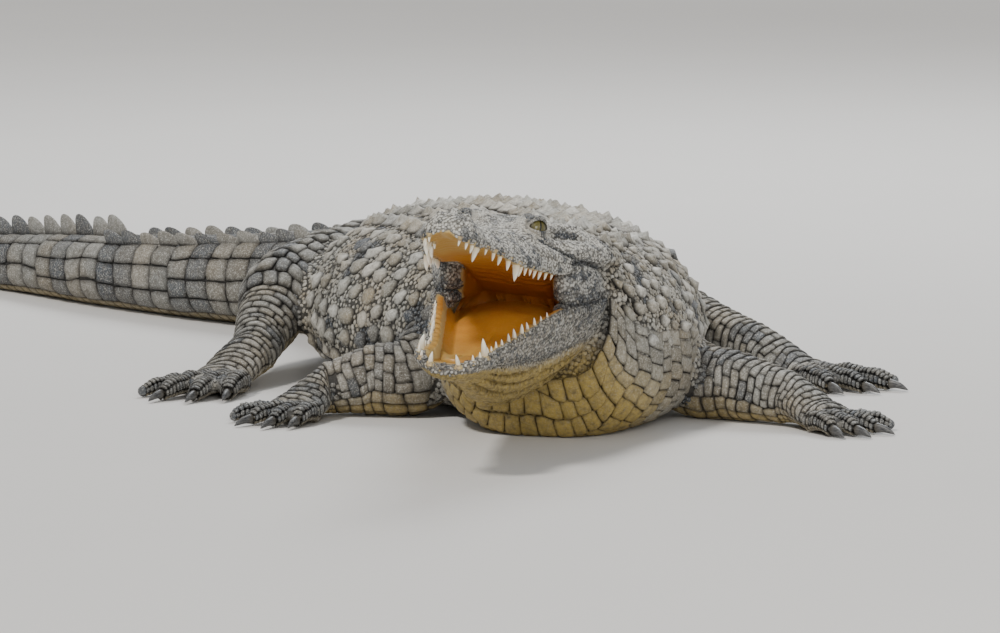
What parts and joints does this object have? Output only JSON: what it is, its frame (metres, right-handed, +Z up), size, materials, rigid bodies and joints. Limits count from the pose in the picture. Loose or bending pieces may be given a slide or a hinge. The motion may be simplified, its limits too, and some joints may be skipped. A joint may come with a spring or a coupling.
{
  "type": "basking nile crocodile",
  "caption": "Still life-size model of a crocodile lying on its belly with its jaws open, head raised, legs spread and tail swung to its right.",
  "frame": {"origin": "on the floor under the middle of the animal's bounding box", "axes": "+Z up, -Y towards the animal's front, +X towards its left side"},
  "size_m": [2.032, 2.5554, 0.3719],
  "materials": {
    "hide": "dry horny scales, grey-olive with dark bands and a yellow-cream underside",
    "mouth_lining": "smooth moist skin, orange",
    "eye": "wet and clear, olive-yellow with a slit pupil",
    "claw": "worn dark horn"
  },
  "bodies": {
    "root": {"neck": "hide", "chest": "hide", "belly": "hide", "hips": "hide", "tail_1": "hide", "tail_2": "hide", "tail_3": "hide", "tail_4": "hide", "tail_5": "hide", "skull": "hide", "lower_jaw": "hide", "cheek_left": "hide", "cheek_right": "hide", "upper_arm_left": "hide", "forearm_left": "hide", "hand_left": "hide", "upper_arm_right": "hide", "forearm_right": "hide", "hand_right": "hide", "thigh_left": "hide", "shank_left": "hide", "foot_left": "hide", "thigh_right": "hide", "shank_right": "hide", "foot_right": "hide", "tongue": "mouth_lining", "eye_left": "eye", "eye_right": "eye", "hand_left_claw_1": "claw", "hand_left_claw_2": "claw", "hand_left_claw_3": "claw", "hand_right_claw_1": "claw", "hand_right_claw_2": "claw", "hand_right_claw_3": "claw", "foot_left_claw_1": "claw", "foot_left_claw_2": "claw", "foot_left_claw_3": "claw", "foot_right_claw_1": "claw", "foot_right_claw_2": "claw", "foot_right_claw_3": "claw"}
  },
  "joints": []
}
